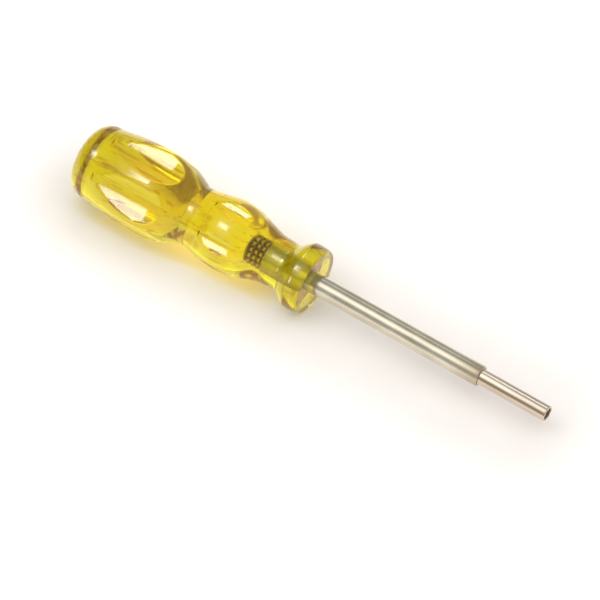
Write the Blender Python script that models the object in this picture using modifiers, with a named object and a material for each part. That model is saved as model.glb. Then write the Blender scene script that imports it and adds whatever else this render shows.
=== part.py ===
"""Security screwdriver: a clear fluted handle, a steel shaft and a splined socket tip.

The tool lies on a surface along X, its butt at -X and its tip at +X. It rests on two lands of
its palm swell and on its front flange, so its axis dips a little towards the tip. Each piece
is modelled upright along the tool's own axis, with height 0 at the butt, and one empty lays
them all down. Heights up the axis are added up from the lengths of the stretches below.
"""
import math

import bmesh
import bpy
from mathutils import Matrix

# Driving dimensions, in metres

# Stretches of the handle, from the butt forwards
BUTT_LENGTH = 0.0080
PALM_RISE_LENGTH = 0.0185
PALM_FALL_LENGTH = 0.0127
GRIP_RISE_LENGTH = 0.0133
GRIP_FALL_LENGTH = 0.0160
NECK_LENGTH = 0.0031
FLARE_LENGTH = 0.0054
RIM_LENGTH = 0.0041

# Radii where those stretches meet
BUTT_RADIUS = 0.0117
PALM_RADIUS = 0.0138
WAIST_RADIUS = 0.0093
GRIP_RADIUS = 0.0112
NECK_RADIUS = 0.0075
FLANGE_RADIUS = 0.01055
FACE_RADIUS = 0.00995

# The butt ends in a shallow dome with a rounded corner
BUTT_DOME = 0.0240
BUTT_CORNER = 0.0055

# Flutes scooped out of the palm swell and the grip swell. Each floor is a straight line that
# clears the swell's rear end by the lip and is deepest at the swell's widest point. It runs on
# past that point, and then the scoop's rounded nose closes the flute.
FLUTE_COUNT = 6
PALM_SCOOP_RADIUS = 0.0250
PALM_SCOOP_LIP = 0.0007
PALM_SCOOP_DEPTH = 0.00205
PALM_SCOOP_RUN = 0.0023
PALM_SCOOP_NOSE = 0.0300
GRIP_SCOOP_RADIUS = 0.0090
GRIP_SCOOP_LIP = 0.00125
GRIP_SCOOP_DEPTH = 0.00095
GRIP_SCOOP_RUN = 0.0037
GRIP_SCOOP_NOSE = 0.0080

# Shaft and the tang that the handle is moulded round
SHAFT_RADIUS = 0.003175
SHAFT_EXPOSED_LENGTH = 0.0573
TANG_LENGTH = 0.0226
TANG_CHAMFER = 0.0004
KNURL_LENGTH = 0.0052
KNURL_SETBACK = 0.0008
KNURL_TEETH = 12
KNURL_BANDS = 3
KNURL_TOOTH_DEPTH = 0.00040
KNURL_RING_DEPTH = 0.00055
NOSE_CHAMFER = 0.0003

# Socket tip, pressed into the end of the shaft
TIP_RADIUS = 0.00248
TIP_EXPOSED_LENGTH = 0.0225
TIP_SPIGOT_LENGTH = 0.0080
TIP_CHAMFER = 0.00012
SOCKET_RADIUS = 0.0019
SOCKET_DEPTH = 0.0090
SPLINE_COUNT = 6
SPLINE_RADIUS = 0.00038

# Clearances
MOULD_GAP = 0.0003
PRESS_GAP = 0.0003
OVERRUN = 0.0010

# Shape of the falls from palm to waist and from grip to neck. The second uses the first part
# of a half wave and so runs on smoothly into the neck, which still narrows by the taper.
PALM_FALL_POWER = 1.5
GRIP_FALL_SHARE = 0.957
NECK_TAPER = 0.00014

# Facets
HANDLE_STEPS = 72
SCOOP_STEPS = 120
ROD_STEPS = 48
SPLINE_STEPS = 16
POINTS_PER_STRETCH = 8
SMOOTH_ANGLE = math.radians(24)

# Heights up the axis
PALM_HEIGHT = BUTT_LENGTH + PALM_RISE_LENGTH
WAIST_HEIGHT = PALM_HEIGHT + PALM_FALL_LENGTH
GRIP_HEIGHT = WAIST_HEIGHT + GRIP_RISE_LENGTH
NECK_HEIGHT = GRIP_HEIGHT + GRIP_FALL_LENGTH
FLARE_HEIGHT = NECK_HEIGHT + NECK_LENGTH
FLANGE_HEIGHT = FLARE_HEIGHT + FLARE_LENGTH
FACE_HEIGHT = FLANGE_HEIGHT + RIM_LENGTH
TANG_HEIGHT = FACE_HEIGHT - TANG_LENGTH
NOSE_HEIGHT = FACE_HEIGHT + SHAFT_EXPOSED_LENGTH
MOUTH_HEIGHT = NOSE_HEIGHT + TIP_EXPOSED_LENGTH
SPIGOT_HEIGHT = NOSE_HEIGHT - TIP_SPIGOT_LENGTH

# Colours as (red, green, blue, alpha), with roughness, metallic value and transmission
FINISHES = {
    "handle": ((0.85, 0.72, 0.05, 1.0), 0.05, 0.0, 0.9),
    "shaft": ((0.72, 0.71, 0.69, 1.0), 0.18, 1.0, 0.0),
    "driver_tip": ((0.74, 0.70, 0.65, 1.0), 0.28, 1.0, 0.0),
}


def clear_scene():
    for thing in list(bpy.data.objects):
        bpy.data.objects.remove(thing, do_unlink=True)


def new_collection(name):
    group = bpy.data.collections.new(name)
    bpy.context.scene.collection.children.link(group)
    return group


def new_material(name):
    color, roughness, metallic, transmission = FINISHES[name]
    material = bpy.data.materials.new(name)
    material.use_nodes = True
    shader = material.node_tree.nodes["Principled BSDF"]
    shader.inputs["Base Color"].default_value = color
    shader.inputs["Roughness"].default_value = roughness
    shader.inputs["Metallic"].default_value = metallic
    shader.inputs["Transmission Weight"].default_value = transmission
    return material


def eased(start, end, share):
    """A value that leaves start and reaches end level, share of the way along."""
    return start + (end - start) * (1 - math.cos(math.pi * share)) / 2


def shares():
    """Even steps along one stretch of an outline, without its first point."""
    return [i / POINTS_PER_STRETCH for i in range(1, POINTS_PER_STRETCH + 1)]


def handle_outline():
    """The handle's outline from butt to front face, as (radius, height) points."""
    points = [(0.0, 0.0)]
    reach = BUTT_RADIUS - BUTT_CORNER
    meeting = math.asin(reach / (BUTT_DOME - BUTT_CORNER))
    corner_height = BUTT_DOME - (BUTT_DOME - BUTT_CORNER) * math.cos(meeting)
    for share in shares():
        angle = meeting * share
        points.append((BUTT_DOME * math.sin(angle), BUTT_DOME * (1 - math.cos(angle))))
    for share in shares():
        angle = meeting + (math.pi / 2 - meeting) * share
        radius = reach + BUTT_CORNER * math.sin(angle)
        points.append((radius, corner_height - BUTT_CORNER * math.cos(angle)))
    points.append((BUTT_RADIUS, BUTT_LENGTH))
    for share in shares():
        swell = (PALM_RADIUS - BUTT_RADIUS) * math.sin(math.pi / 2 * share)
        points.append((BUTT_RADIUS + swell, BUTT_LENGTH + PALM_RISE_LENGTH * share))
    for share in shares():
        drop = (PALM_RADIUS - WAIST_RADIUS) * share ** PALM_FALL_POWER
        points.append((PALM_RADIUS - drop, PALM_HEIGHT + PALM_FALL_LENGTH * share))
    for share in shares():
        radius = eased(WAIST_RADIUS, GRIP_RADIUS, share)
        points.append((radius, WAIST_HEIGHT + GRIP_RISE_LENGTH * share))
    wave = (1 - math.cos(math.pi * GRIP_FALL_SHARE)) / 2
    lowest = GRIP_RADIUS - (GRIP_RADIUS - NECK_RADIUS - NECK_TAPER) / wave
    for share in shares():
        radius = eased(GRIP_RADIUS, lowest, share * GRIP_FALL_SHARE)
        points.append((radius, GRIP_HEIGHT + GRIP_FALL_LENGTH * share))
    points.append((NECK_RADIUS, FLARE_HEIGHT))
    for share in shares():
        radius = eased(NECK_RADIUS, FLANGE_RADIUS, share)
        points.append((radius, FLARE_HEIGHT + FLARE_LENGTH * share))
    for share in shares():
        angle = math.pi / 2 * share
        radius = FACE_RADIUS + (FLANGE_RADIUS - FACE_RADIUS) * math.cos(angle)
        points.append((radius, FLANGE_HEIGHT + RIM_LENGTH * math.sin(angle)))
    points.append((0.0, FACE_HEIGHT))
    return points


def turned(name, outline, steps, group):
    """A solid turned about the axis from an outline of (radius, height), bottom to top."""
    mesh = bpy.data.meshes.new(name)
    corners = [(radius, 0.0, height) for radius, height in reversed(outline)]
    mesh.from_pydata(corners, [(i, i + 1) for i in range(len(corners) - 1)], [])
    thing = bpy.data.objects.new(name, mesh)
    group.objects.link(thing)
    turn = thing.modifiers.new("turn", "SCREW")
    turn.steps = steps
    turn.render_steps = steps
    turn.use_merge_vertices = True
    turn.merge_threshold = 0.00001
    return thing


def new_piece(name, shape, group):
    """An object that takes over a finished bmesh."""
    mesh = bpy.data.meshes.new(name)
    shape.to_mesh(mesh)
    shape.free()
    thing = bpy.data.objects.new(name, mesh)
    group.objects.link(thing)
    return thing


def rods(name, radius, length, steps, places, group):
    """Cylinders of one size in one object, centred at each matrix in places."""
    shape = bmesh.new()
    for place in places:
        bmesh.ops.create_cone(shape, cap_ends=True, segments=steps, radius1=radius,
                              radius2=radius, depth=length, matrix=place)
    return new_piece(name, shape, group)


def cut(target, cutter):
    """Cuts one piece with another, which stays as a wire guide."""
    cutter.hide_render = True
    cutter.display_type = "WIRE"
    boolean = target.modifiers.new(cutter.name, "BOOLEAN")
    boolean.operation = "DIFFERENCE"
    boolean.object = cutter


def around(count):
    """Turns about the axis for a ring of equal features, the first one facing down."""
    return [2 * math.pi * i / count for i in range(count)]


def scoop_outline(radius, straight, nose):
    """A scoop's outline from its flat rear end to its rounded nose."""
    outline = [(0.0, 0.0), (radius, 0.0), (radius, straight)]
    for share in shares():
        angle = math.pi / 2 * share
        outline.append((radius * math.cos(angle), straight + nose * math.sin(angle)))
    return outline


def scoops(name, rear, widest, radius, run, nose, group):
    """A ring of leaning scoops whose inner sides follow the line from rear to widest.

    Both ends of that line are (height, radius) from the tool's axis.
    """
    rise = widest[0] - rear[0]
    lean = math.atan2(widest[1] - rear[1], rise)
    outline = scoop_outline(radius, (rise + run) / math.cos(lean), nose)
    cutters = []
    for i, angle in enumerate(around(FLUTE_COUNT)):
        scoop = turned(f"{name}_{i}", outline, SCOOP_STEPS, group)
        scoop.matrix_world = (Matrix.Rotation(angle, 4, "Z")
                              @ Matrix.Translation((rear[1], 0.0, rear[0]))
                              @ Matrix.Rotation(lean, 4, "Y")
                              @ Matrix.Translation((radius, 0.0, 0.0)))
        cutters.append(scoop)
    return cutters


def palm_scoops(group):
    return scoops("palm_scoop", (BUTT_LENGTH, BUTT_RADIUS + PALM_SCOOP_LIP),
                  (PALM_HEIGHT, PALM_RADIUS - PALM_SCOOP_DEPTH),
                  PALM_SCOOP_RADIUS, PALM_SCOOP_RUN, PALM_SCOOP_NOSE, group)


def grip_scoops(group):
    return scoops("grip_scoop", (WAIST_HEIGHT, WAIST_RADIUS + GRIP_SCOOP_LIP),
                  (GRIP_HEIGHT, GRIP_RADIUS - GRIP_SCOOP_DEPTH),
                  GRIP_SCOOP_RADIUS, GRIP_SCOOP_RUN, GRIP_SCOOP_NOSE, group)


def make_handle(parts, cutters):
    """One clear moulding: swells, waist, neck and flange, with flutes and the tang's bore."""
    handle = turned("handle", handle_outline(), HANDLE_STEPS, parts)
    for scoop in palm_scoops(cutters) + grip_scoops(cutters):
        cut(handle, scoop)
    bore_radius = SHAFT_RADIUS + MOULD_GAP
    bore_outline = [(0.0, TANG_HEIGHT - MOULD_GAP),
                    (bore_radius, TANG_HEIGHT - MOULD_GAP),
                    (bore_radius, FACE_HEIGHT + OVERRUN),
                    (0.0, FACE_HEIGHT + OVERRUN)]
    cut(handle, turned("tang_bore", bore_outline, ROD_STEPS, cutters))
    return handle


def knurl_band_heights():
    """The heights of the ring grooves that part the knurl into bands."""
    low = TANG_HEIGHT + KNURL_SETBACK
    band = KNURL_LENGTH / KNURL_BANDS
    return [low + band * i for i in range(KNURL_BANDS + 1)]


def shaft_outline():
    """The shaft's outline from tang to nose, with the knurl's ring grooves."""
    outline = [(0.0, TANG_HEIGHT),
               (SHAFT_RADIUS - TANG_CHAMFER, TANG_HEIGHT),
               (SHAFT_RADIUS, TANG_HEIGHT + TANG_CHAMFER)]
    half = KNURL_RING_DEPTH / 2
    for height in knurl_band_heights():
        outline += [(SHAFT_RADIUS, height - half),
                    (SHAFT_RADIUS - KNURL_RING_DEPTH, height),
                    (SHAFT_RADIUS, height + half)]
    outline += [(SHAFT_RADIUS, NOSE_HEIGHT - NOSE_CHAMFER),
                (SHAFT_RADIUS - NOSE_CHAMFER, NOSE_HEIGHT),
                (0.0, NOSE_HEIGHT)]
    return outline


def make_shaft(parts, cutters):
    """A steel rod whose knurled tang keys it in the handle, bored at the nose for the tip."""
    shaft = turned("shaft", shaft_outline(), ROD_STEPS, parts)
    knurl_middle = TANG_HEIGHT + KNURL_SETBACK + KNURL_LENGTH / 2
    places = [Matrix.Rotation(angle, 4, "Z")
              @ Matrix.Translation((SHAFT_RADIUS, 0.0, knurl_middle))
              for angle in around(KNURL_TEETH)]
    cut(shaft, rods("knurl_grooves", KNURL_TOOTH_DEPTH, KNURL_LENGTH, SPLINE_STEPS,
                    places, cutters))
    seat_radius = TIP_RADIUS + PRESS_GAP
    seat_outline = [(0.0, SPIGOT_HEIGHT - PRESS_GAP),
                    (seat_radius, SPIGOT_HEIGHT - PRESS_GAP),
                    (seat_radius, NOSE_HEIGHT + OVERRUN),
                    (0.0, NOSE_HEIGHT + OVERRUN)]
    cut(shaft, turned("tip_seat", seat_outline, ROD_STEPS, cutters))
    return shaft


def make_driver_tip(parts, cutters):
    """A thin tube whose mouth has inner splines that grip the head of a security screw."""
    outline = [(0.0, SPIGOT_HEIGHT),
               (TIP_RADIUS - TIP_CHAMFER, SPIGOT_HEIGHT),
               (TIP_RADIUS, SPIGOT_HEIGHT + TIP_CHAMFER),
               (TIP_RADIUS, MOUTH_HEIGHT - TIP_CHAMFER),
               (TIP_RADIUS - TIP_CHAMFER, MOUTH_HEIGHT),
               (0.0, MOUTH_HEIGHT)]
    tip = turned("driver_tip", outline, ROD_STEPS, parts)
    floor_height = MOUTH_HEIGHT - SOCKET_DEPTH
    socket_outline = [(0.0, floor_height - SOCKET_RADIUS / 2),
                      (SOCKET_RADIUS, floor_height),
                      (SOCKET_RADIUS, MOUTH_HEIGHT + OVERRUN),
                      (0.0, MOUTH_HEIGHT + OVERRUN)]
    socket = turned("socket_bore", socket_outline, ROD_STEPS, cutters)
    spline_length = SOCKET_DEPTH + SOCKET_RADIUS + 2 * OVERRUN
    spline_middle = MOUTH_HEIGHT - SOCKET_DEPTH / 2
    places = [Matrix.Rotation(angle, 4, "Z")
              @ Matrix.Translation((SOCKET_RADIUS, 0.0, spline_middle))
              for angle in around(SPLINE_COUNT)]
    cut(socket, rods("socket_splines", SPLINE_RADIUS, spline_length, SPLINE_STEPS,
                     places, cutters))
    cut(tip, socket)
    return tip


def land_support_radius():
    """How far the palm's lands reach below the axis when a flute faces straight down."""
    centre = PALM_RADIUS - PALM_SCOOP_DEPTH + PALM_SCOOP_RADIUS
    cosine = ((PALM_RADIUS ** 2 + centre ** 2 - PALM_SCOOP_RADIUS ** 2)
              / (2 * PALM_RADIUS * centre))
    edge = min(math.acos(cosine), math.pi / FLUTE_COUNT)
    return PALM_RADIUS * math.cos(edge)


def lay_down(things):
    """Lays the upright tool along X, resting on the palm's lands and the flange."""
    palm_reach = land_support_radius()
    dip = math.atan2(palm_reach - FLANGE_RADIUS, FLANGE_HEIGHT - PALM_HEIGHT)
    axis = bpy.data.objects.new("tool_axis", None)
    bpy.context.scene.collection.objects.link(axis)
    axis.rotation_euler = (0.0, math.pi / 2 + dip, 0.0)
    axis.location = (-MOUTH_HEIGHT / 2 * math.cos(dip), 0.0,
                     PALM_HEIGHT * math.sin(dip) + palm_reach * math.cos(dip))
    for thing in things:
        thing.parent = axis
    return axis


def settle(thing):
    """Applies a piece's modifiers and shades it smooth between its sharp edges."""
    depsgraph = bpy.context.evaluated_depsgraph_get()
    mesh = bpy.data.meshes.new_from_object(thing.evaluated_get(depsgraph))
    mesh.name = thing.name
    thing.modifiers.clear()
    thing.data = mesh
    mesh.shade_smooth()
    mesh.set_sharp_from_angle(angle=SMOOTH_ANGLE)
    mesh.materials.clear()
    mesh.materials.append(new_material(thing.name))


def main():
    clear_scene()
    parts = new_collection("security_screwdriver")
    cutters = new_collection("cutters")
    pieces = [make_handle(parts, cutters),
              make_shaft(parts, cutters),
              make_driver_tip(parts, cutters)]
    lay_down(pieces + list(cutters.objects))
    for piece in pieces:
        settle(piece)


main()
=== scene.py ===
import math

import bpy
import numpy as np
from mathutils import Matrix, Vector


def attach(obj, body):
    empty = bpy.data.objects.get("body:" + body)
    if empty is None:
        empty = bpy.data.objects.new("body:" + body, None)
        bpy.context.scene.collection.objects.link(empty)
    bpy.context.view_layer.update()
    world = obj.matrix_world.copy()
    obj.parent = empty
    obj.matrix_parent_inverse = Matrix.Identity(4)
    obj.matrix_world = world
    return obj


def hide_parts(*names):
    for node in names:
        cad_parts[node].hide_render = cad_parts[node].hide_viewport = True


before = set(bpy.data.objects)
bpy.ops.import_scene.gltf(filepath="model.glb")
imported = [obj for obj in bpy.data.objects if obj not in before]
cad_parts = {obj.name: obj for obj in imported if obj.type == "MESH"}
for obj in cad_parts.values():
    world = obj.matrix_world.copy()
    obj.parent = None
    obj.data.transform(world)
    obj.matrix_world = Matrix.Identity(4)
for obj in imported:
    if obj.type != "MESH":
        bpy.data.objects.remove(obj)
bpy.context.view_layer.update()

# Sizes that the CAD part has too, in metres

# Stretches of the handle, from the butt forwards, and the radii where they meet
BUTT_LENGTH = 0.0080
PALM_RISE_LENGTH = 0.0185
PALM_FALL_LENGTH = 0.0127
GRIP_RISE_LENGTH = 0.0133
GRIP_FALL_LENGTH = 0.0160
NECK_LENGTH = 0.0031
FLARE_LENGTH = 0.0054
RIM_LENGTH = 0.0041
BUTT_RADIUS = 0.0117
PALM_RADIUS = 0.0138
WAIST_RADIUS = 0.0093
GRIP_RADIUS = 0.0112
NECK_RADIUS = 0.0075
FLANGE_RADIUS = 0.01055
FACE_RADIUS = 0.00995
BUTT_CORNER = 0.0055
BUTT_DOME = 0.0240
PALM_FALL_POWER = 1.5
GRIP_FALL_SHARE = 0.957
NECK_TAPER = 0.00014

# Flutes
FLUTE_COUNT = 6
PALM_SCOOP_RADIUS = 0.0250
PALM_SCOOP_LIP = 0.0007
PALM_SCOOP_DEPTH = 0.00205
PALM_SCOOP_RUN = 0.0023
PALM_SCOOP_NOSE = 0.0300
GRIP_SCOOP_RADIUS = 0.0090
GRIP_SCOOP_LIP = 0.00125
GRIP_SCOOP_DEPTH = 0.00095
GRIP_SCOOP_RUN = 0.0037
GRIP_SCOOP_NOSE = 0.0080

# Shaft and tip
SHAFT_RADIUS = 0.003175
SHAFT_EXPOSED_LENGTH = 0.0573
TANG_LENGTH = 0.0226
KNURL_LENGTH = 0.0052
KNURL_SETBACK = 0.0008
KNURL_TEETH = 12
KNURL_BANDS = 3
TIP_RADIUS = 0.00248
TIP_EXPOSED_LENGTH = 0.0225
SOCKET_RADIUS = 0.0019
SOCKET_DEPTH = 0.0090
SPLINE_COUNT = 6
SPLINE_RADIUS = 0.00038

# Heights up the tool's axis, from the butt
PALM_HEIGHT = BUTT_LENGTH + PALM_RISE_LENGTH
WAIST_HEIGHT = PALM_HEIGHT + PALM_FALL_LENGTH
GRIP_HEIGHT = WAIST_HEIGHT + GRIP_RISE_LENGTH
NECK_HEIGHT = GRIP_HEIGHT + GRIP_FALL_LENGTH
FLARE_HEIGHT = NECK_HEIGHT + NECK_LENGTH
FLANGE_HEIGHT = FLARE_HEIGHT + FLARE_LENGTH
FACE_HEIGHT = FLANGE_HEIGHT + RIM_LENGTH
TANG_HEIGHT = FACE_HEIGHT - TANG_LENGTH
KNURL_HEIGHT = TANG_HEIGHT + KNURL_SETBACK
NOSE_HEIGHT = FACE_HEIGHT + SHAFT_EXPOSED_LENGTH
MOUTH_HEIGHT = NOSE_HEIGHT + TIP_EXPOSED_LENGTH

# Sizes that only the look has: softened edges, the mark where each flute starts, and how far
# behind its rear end a scoop may still cut
EDGE_SOFTNESS = 0.00020
RIM_EDGE = 0.00025
NOSE_EDGE = 0.00035
TIP_EDGE = 0.00012
NICK_DEPTH = 0.00065
NICK_HALF_WIDTH = 0.00125
NICK_WALL = 0.00010
NICK_RUN = 0.00070
NICK_LEAD = 0.00005
PALM_NICK_HEIGHT = 0.0096
GRIP_NICK_HEIGHT = 0.0459
SCOOP_REACH_BACK = 0.004

# The tang's end, the knurl and the seat that shows round the tip
TANG_EDGE = 0.0003
TANG_EDGE_RADII = (SHAFT_RADIUS - 0.0005, SHAFT_RADIUS - 0.0001)
KNURL_DEPTH = 0.00050
KNURL_RING_POWER = 0.5
KNURL_SHOULDER = 0.0004
SEAT_GAP = 0.00008
SEAT_DEPTH = 0.0015
TIP_INSERT = 0.0012
TIP_INSERT_EDGE = 0.0005

# How finely each mesh is divided round the axis and along each stretch
HANDLE_STEPS = 276
SHAFT_STEPS = 144
TIP_STEPS = 192
DOME_RINGS = 24
CORNER_RINGS = 32
BUTT_RINGS = 4
PALM_RISE_RINGS = 56
PALM_FALL_RINGS = 44
GRIP_RISE_RINGS = 44
GRIP_FALL_RINGS = 50
NECK_RINGS = 8
FLARE_RINGS = 24
RIM_RINGS = 20
RIM_EDGE_RINGS = 6
FACE_RINGS = 10
NICK_RINGS = 14
KNURL_RINGS = 46
SHAFT_RINGS = 60
NOSE_EDGE_RINGS = 5
TIP_RINGS = 40
TIP_EDGE_RINGS = 4
SOCKET_RINGS = 12

# The small ring that each end cap closes, a hair of room at the butt, a radius that no cut
# reaches, and the angles in degrees from which edges stay sharp
CAP_RADIUS = 0.0002
BUTT_INSET = 0.00003
UNCUT = 1.0
HANDLE_SHARP = 40
STEEL_SHARP = 32

# Painted shade and darker bands on the steel, and its duller places: how much there is, and
# where it lies along or round the tool
GROOVE_PAINTED_SHADE = 1.3
RING_DARKENING = 0.8
RING_SETBACK = 0.0081
RING_HALF_WIDTH = 0.0010
NOSE_DARKENING = 0.35
WORN_DULLED = 0.3
NEAR_NOSE_LENGTH = 0.011
TANG_DULLED = 0.5
TANG_DULLED_SETBACK = 0.0006
TANG_DULLED_FADE = 0.0004
KNURL_DULLED = 0.15
# A dark streak down one side of the tip, partly dirt and partly painted shade below its
# highlight
TIP_STREAK_DIRT_AND_SHADE = 0.6
TIP_STREAK_CORE = 1.3
TIP_STREAK_TURN = 237
TIP_STREAK_HALF_WIDTH = 11
# Painted shade inside the socket
SOCKET_PAINTED_SHADE = 0.3
SHADE_AND_DARKENING_COLOR = (0.30, 0.18, 0.04, 1)
DULLED_ROUGHNESS = 0.62

# The clear plastic: the range of its tint, its streaks, the olive shade painted at its butt, and
# its depth
PLASTIC_TINTS = ((0.98, 0.94, 0.30, 1), (1.0, 0.99, 0.38, 1))
PLASTIC_STREAKS = (0.66, 0.46, 0.08, 1)
PLASTIC_STREAK_RANGE = (0.55, 0.68)
PLASTIC_BUTT_SHADE = (0.60, 0.55, 0.08, 1)
PLASTIC_ROUGHNESS = (0.05, 0.11)
PLASTIC_IOR = 1.49
PLASTIC_DEPTH_COLOR = (0.984, 0.971, 0.0, 1)
PLASTIC_DENSITY = 350

# The photograph's camera and where it sees the middle of the handle's front face
CAMERA_AZIMUTH = math.radians(29.4)
CAMERA_ELEVATION = math.radians(48.7)
CAMERA_ROLL = math.radians(5.1)
CAMERA_DISTANCE = 2.0
CAMERA_REACH = 50
PIXELS_PER_METRE = 3465
FACE_PIXEL = (314.6, 282.8)
IMAGE_SIZE = 600
SENSOR_WIDTH = 36

# The white floor, and how much it is lifted towards paper white from beside the tool outwards,
# less near the tool so that a soft shade is painted round it
FLOOR_HALF = 6.0
FLOOR_TINTS = ((0.90, 0.855, 0.82, 1), (0.93, 0.885, 0.85, 1))
FLOOR_ROUGHNESS = 0.7
FLOOR_SPECULAR = 0.2
FLOOR_LIFT_COLOR = (1, 0.97, 0.97, 1)
FLOOR_LIFT_IN_PAINTED_SHADE = 0.105
FLOOR_LIFT_FAR = 0.38
FLOOR_LIFT_START = 0.012
FLOOR_LIFT_END = 0.045
FLOOR_LIFT_INSET = 0.010
THROUGH_LIFT = 0.07
MIRROR_LIFT = 0.20

# The patch of floor under the handle where the plastic's yellow shadow is painted into the
# floor's colour
POOL_REAR = (-0.084, -0.062)
POOL_FRONT = (-0.007, -0.0175)
POOL_SIDE = (0.0075, 0.0125)
POOL_NARROWS = (-0.050, -0.030)
POOL_NARROWING = 0.003
PAINTED_SHADOW_COLOR = (0.80, 0.70, 0.34, 1)

# Lamps: their distance, and the turn about the tool that faces straight up
BOX_DISTANCE = 1.2
AROUND_UP = 37
GLOW_DROP = 0.0075
GLOW_WIDTH = 0.018
GLOW_LENGTH = 0.080
GLOW_ENERGY = 0.0046
GLOW_COLOR = (1.0, 0.72, 0.06)

# The room that the tool reflects, paler near the horizon and darker towards its butt
ROOM_HORIZON = (0.82, 0.81, 0.80, 1)
ROOM_OVERHEAD = (0.58, 0.575, 0.56, 1)
ROOM_RAMP = (0.1, 0.4)
ROOM_DARK_SIDE = 0.45
ROOM_DARK_RANGE = (-0.9, -0.2)

# Where the useful part of a noise texture lies, and how far light is followed
NOISE_RANGE = (0.3, 0.7)
CLEAR_BOUNCES = 32
GLOSSY_BOUNCES = 16


def land_support():
    """How far the palm's lands reach below the axis when a flute faces straight down."""
    centre = PALM_RADIUS - PALM_SCOOP_DEPTH + PALM_SCOOP_RADIUS
    cosine = ((PALM_RADIUS ** 2 + centre ** 2 - PALM_SCOOP_RADIUS ** 2)
              / (2 * PALM_RADIUS * centre))
    return PALM_RADIUS * math.cos(min(math.acos(cosine), math.pi / FLUTE_COUNT))


DIP = math.atan2(land_support() - FLANGE_RADIUS, FLANGE_HEIGHT - PALM_HEIGHT)
LAID_DOWN = (Matrix.Translation((-MOUTH_HEIGHT / 2 * math.cos(DIP), 0.0,
                                 PALM_HEIGHT * math.sin(DIP) + land_support() * math.cos(DIP)))
             @ Matrix.Rotation(math.pi / 2 + DIP, 4, "Y"))


# Meshes


def eased(start, end, share):
    """A value that leaves start and reaches end level, share of the way along."""
    return start + (end - start) * (1 - np.cos(math.pi * share)) / 2


def all_round(steps):
    """Even turns about the axis."""
    return np.linspace(0, 2 * math.pi, steps, endpoint=False)


def off_centre(turns, count):
    """How far each turn is from the nearest of count even places about the axis."""
    step = 2 * math.pi / count
    return (turns + step / 2) % step - step / 2


def stretch(count):
    """Even steps along one stretch of an outline, without its first point."""
    return np.linspace(0, 1, count + 1)[1:]


def stretch_with_nick(count, low, length, nick_height):
    """Steps along a stretch that has the flutes' nicks, closer together across them."""
    close = (nick_height - low) / length + np.linspace(-NICK_LEAD, NICK_WALL + NICK_RUN,
                                                       NICK_RINGS) / length
    return np.unique(np.concatenate([stretch(count), close]))


def rounded_edge(radius, height, size, count):
    """Radii and heights that turn over the outer edge of a face at the given height."""
    angle = math.pi / 2 * stretch(count)
    return radius - size * (1 - np.cos(angle)), height - size * (1 - np.sin(angle))


def handle_profile():
    """Dense radii and heights down the handle's outside, from butt to front face."""
    reach = BUTT_RADIUS - BUTT_CORNER
    meeting = math.asin(reach / (BUTT_DOME - BUTT_CORNER))
    centre = BUTT_DOME - math.sqrt((BUTT_DOME - BUTT_CORNER) ** 2 - reach ** 2)
    angle = meeting * stretch(DOME_RINGS)
    rows = [(BUTT_DOME * np.sin(angle), BUTT_INSET + BUTT_DOME * (1 - np.cos(angle)))]
    angle = meeting + (math.pi / 2 - meeting) * stretch(CORNER_RINGS)
    rows.append((reach + BUTT_CORNER * np.sin(angle),
                 BUTT_INSET + centre - BUTT_CORNER * np.cos(angle)))
    share = stretch(BUTT_RINGS)
    rows.append((BUTT_RADIUS + 0 * share,
                 centre + BUTT_INSET + (BUTT_LENGTH - centre - BUTT_INSET) * share))
    share = stretch_with_nick(PALM_RISE_RINGS, BUTT_LENGTH, PALM_RISE_LENGTH,
                              PALM_NICK_HEIGHT)
    rows.append((BUTT_RADIUS + (PALM_RADIUS - BUTT_RADIUS) * np.sin(math.pi / 2 * share),
                 BUTT_LENGTH + PALM_RISE_LENGTH * share))
    share = stretch(PALM_FALL_RINGS)
    rows.append((PALM_RADIUS - (PALM_RADIUS - WAIST_RADIUS) * share ** PALM_FALL_POWER,
                 PALM_HEIGHT + PALM_FALL_LENGTH * share))
    share = stretch_with_nick(GRIP_RISE_RINGS, WAIST_HEIGHT, GRIP_RISE_LENGTH,
                              GRIP_NICK_HEIGHT)
    rows.append((eased(WAIST_RADIUS, GRIP_RADIUS, share),
                 WAIST_HEIGHT + GRIP_RISE_LENGTH * share))
    share = stretch(GRIP_FALL_RINGS)
    wave = (1 - math.cos(math.pi * GRIP_FALL_SHARE)) / 2
    lowest = GRIP_RADIUS - (GRIP_RADIUS - NECK_RADIUS - NECK_TAPER) / wave
    rows.append((eased(GRIP_RADIUS, lowest, share * GRIP_FALL_SHARE),
                 GRIP_HEIGHT + GRIP_FALL_LENGTH * share))
    share = stretch(NECK_RINGS)
    rows.append((NECK_RADIUS + NECK_TAPER * (1 - share), NECK_HEIGHT + NECK_LENGTH * share))
    share = stretch(FLARE_RINGS)
    rows.append((eased(NECK_RADIUS, FLANGE_RADIUS, share),
                 FLARE_HEIGHT + FLARE_LENGTH * share))
    angle = math.pi / 2 * stretch(RIM_RINGS)
    rows.append((FACE_RADIUS + (FLANGE_RADIUS - FACE_RADIUS) * np.cos(angle),
                 FLANGE_HEIGHT + (RIM_LENGTH - RIM_EDGE) * np.sin(angle)))
    rows.append(rounded_edge(FACE_RADIUS, FACE_HEIGHT, RIM_EDGE, RIM_EDGE_RINGS))
    share = stretch(FACE_RINGS)
    rows.append(((FACE_RADIUS - RIM_EDGE) * (1 - share) + CAP_RADIUS / 2 * share,
                 FACE_HEIGHT + 0 * share))
    radii = np.concatenate([row[0] for row in rows])
    heights = np.concatenate([row[1] for row in rows])
    return radii, heights


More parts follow.
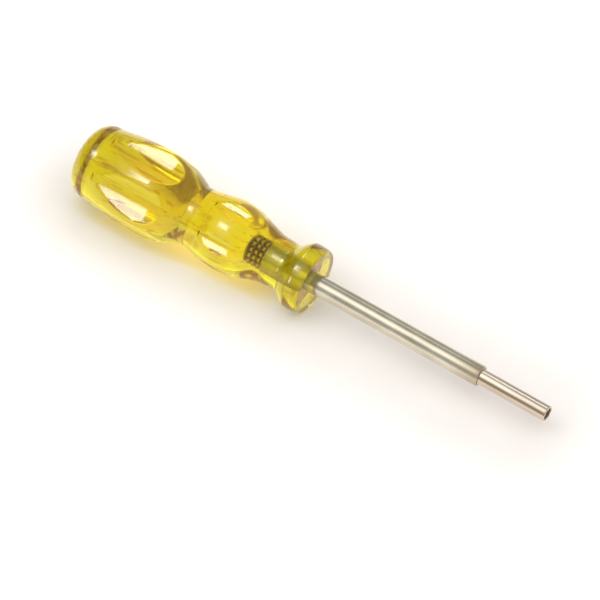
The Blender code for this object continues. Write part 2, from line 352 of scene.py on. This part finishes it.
def scoop_radii(heights, turns, rear, widest, radius, run, nose):
    """How far out a ring of leaning scoops starts, at each height and turn.

    The scoops' floors follow the line from rear to widest, each a (height, radius) point.
    """
    lean = math.atan2(widest[1] - rear[1], widest[0] - rear[0])
    floor = rear[1] + (heights - rear[0]) * math.tan(lean)
    centre = floor + radius / math.cos(lean)
    past = np.clip((heights - widest[0] - run) / nose, 0, 1)
    size = radius * np.sqrt(1 - past ** 2)
    size = np.where(heights < rear[0] - SCOOP_REACH_BACK, 0.0, size)
    offset = off_centre(turns, FLUTE_COUNT)
    inside = size[:, None] ** 2 - (centre[:, None] * np.sin(offset)[None, :]) ** 2
    reach = centre[:, None] * np.cos(offset)[None, :] - np.sqrt(np.maximum(inside, 0))
    return np.where(inside > 0, reach, UNCUT)


def nicks(heights, turns, start):
    """The depth of the small blunt marks that the cutter leaves where the flutes begin."""
    across = off_centre(turns, FLUTE_COUNT) * BUTT_RADIUS / NICK_HALF_WIDTH
    width = np.clip(1 - across ** 2, 0, 1)
    wall = np.clip((heights - start) / NICK_WALL, 0, 1)
    fade = np.clip((start + NICK_WALL + NICK_RUN - heights) / NICK_RUN, 0, 1)
    return NICK_DEPTH * (wall * fade)[:, None] * width[None, :]


def softly_less(a, b):
    """The smaller of two radii, with the edge where they meet rounded a little."""
    near = np.maximum(EDGE_SOFTNESS - np.abs(a - b), 0) / EDGE_SOFTNESS
    return np.minimum(a, b) - near ** 2 * EDGE_SOFTNESS / 4


def mesh_from_rings(name, radii, heights):
    """A smooth closed mesh from rings: radii is (rings, steps), heights is (rings,)."""
    rings, steps = radii.shape
    turns = all_round(steps)
    x = radii * np.cos(turns)[None, :]
    y = radii * np.sin(turns)[None, :]
    z = np.repeat(heights[:, None], steps, axis=1)
    points = np.stack([x, y, z], axis=-1).reshape(-1, 3)
    ring = np.arange(rings - 1)[:, None]
    step = np.arange(steps)[None, :]
    after = (step + 1) % steps
    quads = np.stack([ring * steps + step, ring * steps + after,
                      (ring + 1) * steps + after, (ring + 1) * steps + step], axis=-1)
    faces = quads.reshape(-1, 4).tolist()
    vertices = points.tolist() + [[0.0, 0.0, float(heights[0])], [0.0, 0.0, float(heights[-1])]]
    first, final = len(points), len(points) + 1
    for s in range(steps):
        n = (s + 1) % steps
        faces.append([first, n, s])
        faces.append([final, (rings - 1) * steps + s, (rings - 1) * steps + n])
    mesh = bpy.data.meshes.new(name)
    mesh.from_pydata(vertices, [], faces)
    mesh.shade_smooth()
    mesh.transform(LAID_DOWN)
    mesh.update()
    thing = bpy.data.objects.new(name, mesh)
    bpy.context.scene.collection.objects.link(thing)
    return thing


def mark(thing, name, values):
    """Keeps a value for each point of the rings, for the material to read."""
    layer = thing.data.attributes.new(name, "FLOAT", "POINT")
    padded = np.zeros(len(thing.data.vertices), dtype=np.float32)
    padded[:len(values)] = values
    layer.data.foreach_set("value", padded)


def sharpen(thing, degrees):
    """Keeps edges sharp that turn by more than an angle."""
    thing.data.set_sharp_from_angle(angle=math.radians(degrees))


def make_handle():
    """The clear moulding, with both rings of flutes and the nicks where they start."""
    radii, heights = handle_profile()
    turns = all_round(HANDLE_STEPS)
    outside = np.repeat(radii[:, None], len(turns), axis=1)
    palm = scoop_radii(heights, turns, (BUTT_LENGTH, BUTT_RADIUS + PALM_SCOOP_LIP),
                       (PALM_HEIGHT, PALM_RADIUS - PALM_SCOOP_DEPTH),
                       PALM_SCOOP_RADIUS, PALM_SCOOP_RUN, PALM_SCOOP_NOSE)
    grip = scoop_radii(heights, turns, (WAIST_HEIGHT, WAIST_RADIUS + GRIP_SCOOP_LIP),
                       (GRIP_HEIGHT, GRIP_RADIUS - GRIP_SCOOP_DEPTH),
                       GRIP_SCOOP_RADIUS, GRIP_SCOOP_RUN, GRIP_SCOOP_NOSE)
    palm = np.where(heights[:, None] < WAIST_HEIGHT, palm, UNCUT)
    grip = np.where(heights[:, None] > WAIST_HEIGHT, grip, UNCUT)
    shaped = softly_less(softly_less(outside, palm), grip)
    shaped = shaped - nicks(heights, turns, PALM_NICK_HEIGHT)
    shaped = shaped - nicks(heights, turns, GRIP_NICK_HEIGHT)
    handle = mesh_from_rings("clear_handle", shaped, heights)
    # Painted shade: how far into the darker olive at the butt's end each point lies
    mark(handle, "butt_painted_shade", np.repeat(np.clip(1 - heights / BUTT_CORNER, 0, 1), len(turns)))
    sharpen(handle, HANDLE_SHARP)
    return handle


def shaft_profile():
    """Radii and heights of the plain shaft, from the tang's end to the seat of the tip."""
    knurl = np.linspace(KNURL_HEIGHT, KNURL_HEIGHT + KNURL_LENGTH, KNURL_RINGS)
    rod = np.linspace(knurl[-1] + KNURL_SHOULDER, NOSE_HEIGHT - NOSE_EDGE, SHAFT_RINGS)
    nose_radii, nose_heights = rounded_edge(SHAFT_RADIUS, NOSE_HEIGHT, NOSE_EDGE,
                                            NOSE_EDGE_RINGS)
    seat = TIP_RADIUS + SEAT_GAP
    radii = np.concatenate([[CAP_RADIUS, *TANG_EDGE_RADII],
                            np.full(KNURL_RINGS + SHAFT_RINGS, SHAFT_RADIUS),
                            nose_radii, [seat, seat, CAP_RADIUS]])
    heights = np.concatenate([[TANG_HEIGHT, TANG_HEIGHT, TANG_HEIGHT + TANG_EDGE],
                              knurl, rod, nose_heights,
                              [NOSE_HEIGHT, NOSE_HEIGHT - SEAT_DEPTH, NOSE_HEIGHT - SEAT_DEPTH]])
    return radii, heights


def make_shaft():
    """The rod with its knurled tang, rounded nose and the seat that holds the tip."""
    radii, heights = shaft_profile()
    turns = all_round(SHAFT_STEPS)
    shaped = np.repeat(radii[:, None], SHAFT_STEPS, axis=1)
    along = np.clip((heights - KNURL_HEIGHT) / KNURL_LENGTH, 0, 1)
    in_band = (heights >= KNURL_HEIGHT) & (heights <= KNURL_HEIGHT + KNURL_LENGTH)
    ring_wave = np.abs(np.sin(math.pi * along * KNURL_BANDS)) ** KNURL_RING_POWER
    tooth_wave = np.abs(np.sin(turns * KNURL_TEETH / 2))
    tooth = ring_wave[:, None] * tooth_wave[None, :]
    shaped = shaped - np.where(in_band[:, None], KNURL_DEPTH * (1 - tooth), 0)
    shaft = mesh_from_rings("steel_shaft", shaped, heights)

    # Painted shade, darker in the knurl's grooves
    groove_shade = np.where(in_band[:, None], np.clip(GROOVE_PAINTED_SHADE * (1 - tooth), 0, 1), 0)
    # A darker band round the tang
    ring = np.clip(1 - np.abs(heights - FACE_HEIGHT + RING_SETBACK) / RING_HALF_WIDTH, 0, 1)
    # Darker and duller towards the nose
    near_nose = np.clip((heights - NOSE_HEIGHT) / NEAR_NOSE_LENGTH + 1, 0, 1)
    band = np.maximum(RING_DARKENING * ring, NOSE_DARKENING * near_nose)
    mark(shaft, "painted_shade_and_darkening", np.maximum(groove_shade, band[:, None]).ravel())
    tang = np.clip((FACE_HEIGHT - TANG_DULLED_SETBACK - heights) / TANG_DULLED_FADE, 0, 1)
    dulled = np.maximum(TANG_DULLED * tang, WORN_DULLED * near_nose)
    mark(shaft, "dulled", np.repeat(np.where(in_band, KNURL_DULLED, dulled), SHAFT_STEPS))
    sharpen(shaft, STEEL_SHARP)
    return shaft


def make_tip():
    """The thin tube with its splined mouth."""
    turns = all_round(TIP_STEPS)
    tube = np.linspace(NOSE_HEIGHT - TIP_INSERT_EDGE, MOUTH_HEIGHT - TIP_EDGE, TIP_RINGS)
    edge_radii, edge_heights = rounded_edge(TIP_RADIUS, MOUTH_HEIGHT, TIP_EDGE,
                                            TIP_EDGE_RINGS)
    outer = np.concatenate([np.full(TIP_RINGS + 1, TIP_RADIUS), edge_radii])
    offset = off_centre(turns, SPLINE_COUNT)
    inside = SPLINE_RADIUS ** 2 - (SOCKET_RADIUS * np.sin(offset)) ** 2
    reach = SOCKET_RADIUS * np.cos(offset) - np.sqrt(np.maximum(inside, 0))
    bore = np.where(inside > 0, reach, SOCKET_RADIUS)
    cap = np.full((1, TIP_STEPS), CAP_RADIUS)
    shaped = np.concatenate([cap, np.repeat(outer[:, None], TIP_STEPS, axis=1),
                             np.repeat(bore[None, :], SOCKET_RINGS, axis=0), cap])
    heights = np.concatenate([
        [NOSE_HEIGHT - TIP_INSERT, NOSE_HEIGHT - TIP_INSERT], tube, edge_heights,
        np.linspace(MOUTH_HEIGHT, MOUTH_HEIGHT - SOCKET_DEPTH, SOCKET_RINGS),
        [MOUTH_HEIGHT - SOCKET_DEPTH - SOCKET_RADIUS / 2]])
    tip = mesh_from_rings("splined_tip", shaped, heights)

    in_socket = np.arange(len(heights)) > len(outer)
    # A dark streak down one side of the tip, partly dirt and partly painted shade below its
    # highlight
    side = np.abs(np.degrees(turns) - TIP_STREAK_TURN) / TIP_STREAK_HALF_WIDTH
    streak = TIP_STREAK_DIRT_AND_SHADE * np.clip(TIP_STREAK_CORE - side, 0, 1)
    # Painted shade inside the socket, and the streak on the tip's outside
    mark(tip, "painted_shade_and_darkening", np.where(in_socket[:, None], SOCKET_PAINTED_SHADE, streak[None, :]).ravel())
    mark(tip, "dulled", np.repeat(np.where(in_socket, 1.0, 0.0), TIP_STEPS))
    sharpen(tip, STEEL_SHARP)
    return tip


# Shader nodes


def new_material(name):
    """A material with its node tree, its shader and its output."""
    material = bpy.data.materials.new(name)
    material.use_nodes = True
    tree = material.node_tree
    return material, tree, tree.nodes["Principled BSDF"], tree.nodes["Material Output"]


def calculate(tree, operation, *values, clamp=False):
    """A Math node's result, from numbers and other nodes' outputs."""
    node = tree.nodes.new("ShaderNodeMath")
    node.operation = operation
    node.use_clamp = clamp
    for socket, value in zip(node.inputs, values):
        if isinstance(value, (int, float)):
            socket.default_value = value
        else:
            tree.links.new(value, socket)
    return node.outputs["Value"]


def fitted(tree, value, start, end, low, high, smooth=True):
    """Takes a value that runs from start to end over to a range from low to high."""
    node = tree.nodes.new("ShaderNodeMapRange")
    if smooth:
        node.interpolation_type = "SMOOTHSTEP"
    node.inputs["From Min"].default_value = start
    node.inputs["From Max"].default_value = end
    node.inputs["To Min"].default_value = low
    node.inputs["To Max"].default_value = high
    tree.links.new(value, node.inputs["Value"])
    return node.outputs["Result"]


def blend(tree, factor, first, second, kind="RGBA"):
    """Goes from a node's colour or value to a fixed one."""
    mix = tree.nodes.new("ShaderNodeMix")
    mix.data_type = kind
    mix.inputs["B"].default_value = second
    tree.links.new(factor, mix.inputs["Factor"])
    tree.links.new(first, mix.inputs["A"])
    return mix.outputs["Result"]


def ramp(tree, value, ends, dark, light):
    """A colour that goes from dark to light as the value goes between two ends."""
    node = tree.nodes.new("ShaderNodeValToRGB")
    for element, position, color in zip(node.color_ramp.elements, ends, (dark, light)):
        element.position = position
        element.color = color
    tree.links.new(value, node.inputs["Fac"])
    return node.outputs["Color"]


def marked(tree, name):
    """A value that mark() kept on the mesh."""
    node = tree.nodes.new("ShaderNodeAttribute")
    node.attribute_name = name
    return node.outputs["Fac"]


def noise(tree, scale, detail, stretch_by=(1, 1, 1)):
    """Noise in the object's own space, stretched along the tool where asked."""
    place = tree.nodes.new("ShaderNodeTexCoord")
    mapping = tree.nodes.new("ShaderNodeMapping")
    mapping.inputs["Rotation"].default_value = (0.0, DIP, 0.0)
    mapping.inputs["Scale"].default_value = stretch_by
    texture = tree.nodes.new("ShaderNodeTexNoise")
    texture.inputs["Scale"].default_value = scale
    texture.inputs["Detail"].default_value = detail
    tree.links.new(place.outputs["Object"], mapping.inputs["Vector"])
    tree.links.new(mapping.outputs["Vector"], texture.inputs["Vector"])
    return texture.outputs["Fac"]


def bump(tree, height, strength, distance):
    """A surface normal that follows a height."""
    node = tree.nodes.new("ShaderNodeBump")
    node.inputs["Strength"].default_value = strength
    node.inputs["Distance"].default_value = distance
    tree.links.new(height, node.inputs["Height"])
    return node.outputs["Normal"]


# Materials


def clear_plastic():
    """Golden clear plastic: thicker places absorb more, moulding leaves soft flow lines, and the
    butt's end has painted olive shade.
    """
    material, tree, shader, output = new_material("clear_yellow_plastic")
    shader.inputs["Transmission Weight"].default_value = 1.0
    shader.inputs["IOR"].default_value = PLASTIC_IOR

    flow = noise(tree, scale=90, detail=3, stretch_by=(0.25, 1, 1))
    streaks = noise(tree, scale=760, detail=2, stretch_by=(0.022, 1, 1))
    color = ramp(tree, flow, NOISE_RANGE, *PLASTIC_TINTS)
    color = blend(tree, fitted(tree, streaks, *PLASTIC_STREAK_RANGE, 0, 1), color,
                  PLASTIC_STREAKS)
    # Painted shade, olive towards the butt's end
    color = blend(tree, marked(tree, "butt_painted_shade"), color, PLASTIC_BUTT_SHADE)
    tree.links.new(color, shader.inputs["Base Color"])

    scuffs = noise(tree, scale=700, detail=4)
    roughness = fitted(tree, scuffs, *NOISE_RANGE, *PLASTIC_ROUGHNESS, smooth=False)
    tree.links.new(roughness, shader.inputs["Roughness"])
    tree.links.new(bump(tree, flow, strength=0.05, distance=0.0004), shader.inputs["Normal"])

    absorb = tree.nodes.new("ShaderNodeVolumeAbsorption")
    absorb.inputs["Color"].default_value = PLASTIC_DEPTH_COLOR
    absorb.inputs["Density"].default_value = PLASTIC_DENSITY
    tree.links.new(absorb.outputs["Volume"], output.inputs["Volume"])
    return material


def steel(name, tints, roughness_range, ring_strength, stain_stretch):
    """Turned steel: fine rings round the bar, slight stains, painted shade and darker bands, and
    uneven polish.
    """
    material, tree, shader, _ = new_material(name)
    shader.inputs["Metallic"].default_value = 1.0

    stains = noise(tree, scale=260, detail=4, stretch_by=(stain_stretch, 1, 1))
    color = ramp(tree, stains, NOISE_RANGE, *tints)
    # Painted shade and darker bands, from the values the meshes carry
    color = blend(tree, marked(tree, "painted_shade_and_darkening"), color, SHADE_AND_DARKENING_COLOR)
    tree.links.new(color, shader.inputs["Base Color"])

    roughness = fitted(tree, stains, *NOISE_RANGE, *roughness_range, smooth=False)
    roughness = blend(tree, marked(tree, "dulled"), roughness, DULLED_ROUGHNESS, kind="FLOAT")
    tree.links.new(roughness, shader.inputs["Roughness"])

    rings = noise(tree, scale=900, detail=3, stretch_by=(6, 0.15, 0.15))
    tree.links.new(bump(tree, rings, ring_strength, distance=0.00002), shader.inputs["Normal"])
    return material


def paper_white():
    """A white sweep that keeps the object's shadow, with painted shade round the tool that goes
    to full white away from it, and a painted yellow shadow under the handle.
    """
    material, tree, shader, _ = new_material("white_sweep")
    place = tree.nodes.new("ShaderNodeTexCoord")
    split = tree.nodes.new("ShaderNodeSeparateXYZ")
    tree.links.new(place.outputs["Object"], split.inputs["Vector"])
    along, across = split.outputs["X"], calculate(tree, "ABSOLUTE", split.outputs["Y"])

    # Painted shadow: the floor's colour goes darker yellow under the handle
    narrowed = calculate(tree, "ADD", across,
                         fitted(tree, along, *POOL_NARROWS, 0, POOL_NARROWING))
    painted_shadow = fitted(tree, narrowed, *POOL_SIDE, 1, 0)
    for start, end in (POOL_REAR, POOL_FRONT):
        painted_shadow = calculate(tree, "MULTIPLY", painted_shadow, fitted(tree, along, start, end, 0, 1))
    fibre = noise(tree, scale=60, detail=5)
    paper = ramp(tree, fibre, NOISE_RANGE, *FLOOR_TINTS)
    tree.links.new(blend(tree, painted_shadow, paper, PAINTED_SHADOW_COLOR), shader.inputs["Base Color"])
    shader.inputs["Roughness"].default_value = FLOOR_ROUGHNESS
    shader.inputs["Specular IOR Level"].default_value = FLOOR_SPECULAR
    shader.inputs["Emission Color"].default_value = FLOOR_LIFT_COLOR

    path = tree.nodes.new("ShaderNodeLightPath")
    through, glossy = path.outputs["Is Transmission Ray"], path.outputs["Is Glossy Ray"]
    seen = calculate(tree, "MAXIMUM", path.outputs["Is Camera Ray"], glossy)
    seen = calculate(tree, "MAXIMUM", seen, through)
    past_end = calculate(tree, "SUBTRACT", calculate(tree, "ABSOLUTE", along),
                         MOUTH_HEIGHT / 2 - FLOOR_LIFT_INSET)
    past_end = calculate(tree, "MAXIMUM", past_end, 0)
    away = calculate(tree, "SQRT", calculate(
        tree, "MULTIPLY_ADD", past_end, past_end, calculate(tree, "POWER", across, 2)))
    # Painted shade: the floor is lifted less near the tool, so it is darker round it
    lift = fitted(tree, away, FLOOR_LIFT_START, FLOOR_LIFT_END, FLOOR_LIFT_IN_PAINTED_SHADE, FLOOR_LIFT_FAR)
    lift = calculate(tree, "MULTIPLY", seen, lift)
    lift = calculate(tree, "MULTIPLY_ADD", through, THROUGH_LIFT, lift)
    mirrored = calculate(tree, "SUBTRACT", glossy, through, clamp=True)
    lift = calculate(tree, "MULTIPLY_ADD", mirrored, MIRROR_LIFT, lift)
    tree.links.new(lift, shader.inputs["Emission Strength"])
    return material


# Stage


def make_floor():
    """The white sweep that the tool lies on."""
    mesh = bpy.data.meshes.new("sweep")
    low, high = -FLOOR_HALF, FLOOR_HALF
    mesh.from_pydata([(low, low, 0), (high, low, 0), (high, high, 0), (low, high, 0)],
                     [], [(0, 1, 2, 3)])
    floor = bpy.data.objects.new("sweep", mesh)
    bpy.context.scene.collection.objects.link(floor)
    mesh.materials.append(paper_white())
    return floor


def axes_at(right, up, back, place):
    """The matrix of something whose own X, Y and Z point right, up and back."""
    return Matrix((
        (right.x, up.x, back.x, place.x),
        (right.y, up.y, back.y, place.y),
        (right.z, up.z, back.z, place.z),
        (0, 0, 0, 1)))


def fade_edges(light, hardness):
    """Fades a lamp towards its edges, from the share of its size that stays full."""
    light.use_nodes = True
    tree = light.node_tree
    surface = tree.nodes.new("ShaderNodeNewGeometry")
    centred = tree.nodes.new("ShaderNodeVectorMath")
    centred.operation = "SUBTRACT"
    centred.inputs[1].default_value = (0.5, 0.5, 0)
    outward = tree.nodes.new("ShaderNodeVectorMath")
    outward.operation = "ABSOLUTE"
    split = tree.nodes.new("ShaderNodeSeparateXYZ")
    tree.links.new(surface.outputs["Parametric"], centred.inputs[0])
    tree.links.new(centred.outputs["Vector"], outward.inputs[0])
    tree.links.new(outward.outputs["Vector"], split.inputs["Vector"])
    furthest = calculate(tree, "MAXIMUM", split.outputs["X"], split.outputs["Y"])
    strength = fitted(tree, furthest, 0.5, 0.5 * hardness, 0, 1)
    tree.links.new(strength, tree.nodes["Emission"].inputs["Strength"])


def softbox(name, around, along, half_around, half_along, radiance, hardness=0.4,
            reflected_only=False, diffuse_only=False, receiver=None, seen_through=False,
            color=(1, 1, 1)):
    """An area light that faces the handle.

    around: degrees about the tool from the camera's side, with up at AROUND_UP
    along: degrees from square to the tool, towards the tip where positive
    half_around, half_along: half of its size both ways, in degrees as the handle sees it
    hardness: the share of that size within which it is at full strength
    """
    turn, lean = math.radians(around - AROUND_UP), math.radians(along)
    axis = (LAID_DOWN.to_3x3() @ Vector((0, 0, 1))).normalized()
    level = Vector((0, 1, 0))
    upright = level.cross(axis) * -1
    square = upright * math.cos(turn) + level * math.sin(turn)
    toward = square * math.cos(lean) + axis * math.sin(lean)
    sideways = level * math.cos(turn) - upright * math.sin(turn)
    light = bpy.data.lights.new(name, "AREA")
    light.shape = "RECTANGLE"
    light.size = 2 * BOX_DISTANCE * math.tan(math.radians(half_around))
    light.size_y = 2 * BOX_DISTANCE * math.tan(math.radians(half_along))
    light.energy = radiance * math.pi * light.size * light.size_y
    light.color = color
    fade_edges(light, hardness)
    box = bpy.data.objects.new(name, light)
    place = LAID_DOWN @ Vector((0, 0, WAIST_HEIGHT)) + toward * BOX_DISTANCE
    box.matrix_world = axes_at(sideways, toward.cross(sideways), toward, place)
    box.visible_camera = False
    box.visible_transmission = seen_through
    box.visible_diffuse = not reflected_only
    box.visible_glossy = not diffuse_only
    if receiver:
        box.light_linking.receiver_collection = receiver
    bpy.context.scene.collection.objects.link(box)
    return box


def glow(receiver, blocker):
    """The light that the clear handle gathers on the floor beside it."""
    box = softbox("glow", around=AROUND_UP, along=0, half_around=1, half_along=1, radiance=1,
                  hardness=0, diffuse_only=True, receiver=receiver, color=GLOW_COLOR)
    light = box.data
    light.shape = "ELLIPSE"
    light.size, light.size_y = GLOW_WIDTH, GLOW_LENGTH
    light.energy = GLOW_ENERGY
    box.location = LAID_DOWN @ Vector((0, 0, WAIST_HEIGHT)) - Vector((0, 0, GLOW_DROP))
    box.light_linking.blocker_collection = blocker


def make_world():
    """A soft room, pale near the horizon and dimmer overhead."""
    world = bpy.data.worlds.new("studio")
    bpy.context.scene.world = world
    world.use_nodes = True
    tree = world.node_tree
    room = tree.nodes["Background"]
    place = tree.nodes.new("ShaderNodeTexCoord")
    split = tree.nodes.new("ShaderNodeSeparateXYZ")
    path = tree.nodes.new("ShaderNodeLightPath")
    tree.links.new(place.outputs["Generated"], split.inputs["Vector"])
    color = ramp(tree, split.outputs["Z"], ROOM_RAMP, ROOM_HORIZON, ROOM_OVERHEAD)
    tree.links.new(color, room.inputs["Color"])
    dimmed = fitted(tree, split.outputs["X"], *ROOM_DARK_RANGE, ROOM_DARK_SIDE, 1)
    strength = calculate(tree, "MAXIMUM", path.outputs["Is Camera Ray"], dimmed)
    tree.links.new(strength, room.inputs["Strength"])


def make_camera():
    """The photograph's long-lens view, set by where it sees the front face."""
    turn, rise = CAMERA_AZIMUTH, CAMERA_ELEVATION
    back = Vector((math.sin(turn) * math.cos(rise), -math.cos(turn) * math.cos(rise),
                   math.sin(rise)))
    level = Vector((math.cos(turn), math.sin(turn), 0))
    upright = back.cross(level)
    right = level * math.cos(CAMERA_ROLL) + upright * math.sin(CAMERA_ROLL)
    up = upright * math.cos(CAMERA_ROLL) - level * math.sin(CAMERA_ROLL)
    face = LAID_DOWN @ Vector((0, 0, FACE_HEIGHT))
    middle = (face - right * ((FACE_PIXEL[0] - IMAGE_SIZE / 2) / PIXELS_PER_METRE)
              + up * ((FACE_PIXEL[1] - IMAGE_SIZE / 2) / PIXELS_PER_METRE))
    data = bpy.data.cameras.new("photo_view")
    data.sensor_width = SENSOR_WIDTH
    data.lens = SENSOR_WIDTH * CAMERA_DISTANCE * PIXELS_PER_METRE / IMAGE_SIZE
    data.clip_end = CAMERA_REACH
    camera = bpy.data.objects.new("photo_view", data)
    camera.matrix_world = axes_at(right, up, back, middle + back * CAMERA_DISTANCE)
    bpy.context.scene.collection.objects.link(camera)
    bpy.context.scene.camera = camera


def group_of(name, *things):
    """A collection that says which objects a lamp reaches."""
    group = bpy.data.collections.new(name)
    for thing in things:
        group.objects.link(thing)
    return group


def make_lamps(handle, shaft, tip, floor):
    """Windows and soft overhead light, each reaching only what it should light."""
    handle_only = group_of("handle_only", handle)
    steel_only = group_of("steel_only", shaft, tip)
    tip_only = group_of("tip_only", tip)
    floor_only = group_of("floor_only", floor)
    plastic_and_floor = group_of("plastic_and_floor", handle, floor)
    # A window above, outside on the plastic and then, dimmer, as it shows through it
    softbox("key", around=13, along=-19, half_around=11, half_along=14, radiance=13,
            hardness=0.1, receiver=handle_only)
    softbox("inner_key", around=13, along=-19, half_around=11, half_along=14, radiance=2.2,
            hardness=0.1, reflected_only=True, diffuse_only=True, seen_through=True,
            receiver=handle_only)
    # Soft overhead light, and the same a little warmer on the steel
    softbox("overhead", around=13, along=-17, half_around=33, half_along=27, radiance=1.6,
            hardness=0.1, seen_through=True, receiver=plastic_and_floor)
    softbox("steel_overhead", around=14, along=-17, half_around=33, half_along=27,
            radiance=1.45, hardness=0.1, receiver=steel_only, color=(1, 0.98, 0.94))
    # Even light that nothing mirrors
    softbox("sky", around=37, along=0, half_around=52, half_along=52, radiance=0.62,
            diffuse_only=True)
    # Bright lines along the far side of the shaft and tip
    softbox("far_strip", around=75, along=-12, half_around=7, half_along=9, radiance=0.9,
            hardness=0.1, reflected_only=True, receiver=steel_only)
    softbox("tip_strip", around=70, along=-12, half_around=7, half_along=12, radiance=1.9,
            hardness=0.3, reflected_only=True, receiver=tip_only)
    # Narrow windows that cross the swells of the handle
    softbox("far_window", around=58, along=-15.4, half_around=11, half_along=1.7, radiance=14,
            hardness=0.65, reflected_only=True, receiver=handle_only)
    softbox("near_window", around=-30, along=-15.4, half_around=13, half_along=1.7, radiance=14,
            hardness=0.65, reflected_only=True, receiver=handle_only)
    glow(receiver=floor_only, blocker=steel_only)


handle = make_handle()
handle.data.materials.append(clear_plastic())
shaft = make_shaft()
shaft.data.materials.append(steel(
    "plated_steel", tints=((0.49, 0.45, 0.355, 1), (0.65, 0.605, 0.49, 1)),
    roughness_range=(0.14, 0.24), ring_strength=0.15, stain_stretch=0.5))
tip = make_tip()
tip.data.materials.append(steel(
    "satin_steel", tints=((0.50, 0.43, 0.35, 1), (0.72, 0.635, 0.535, 1)),
    roughness_range=(0.14, 0.25), ring_strength=0.3, stain_stretch=0.15))
for piece, node in ((handle, "handle"), (shaft, "shaft"), (tip, "driver_tip")):
    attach(piece, "root")
    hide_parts(node)

floor = make_floor()
make_world()
make_camera()
make_lamps(handle, shaft, tip, floor)
bpy.context.scene.cycles.max_bounces = CLEAR_BOUNCES
bpy.context.scene.cycles.transmission_bounces = CLEAR_BOUNCES
bpy.context.scene.cycles.glossy_bounces = GLOSSY_BOUNCES
bpy.context.scene.view_settings.view_transform = "Standard"
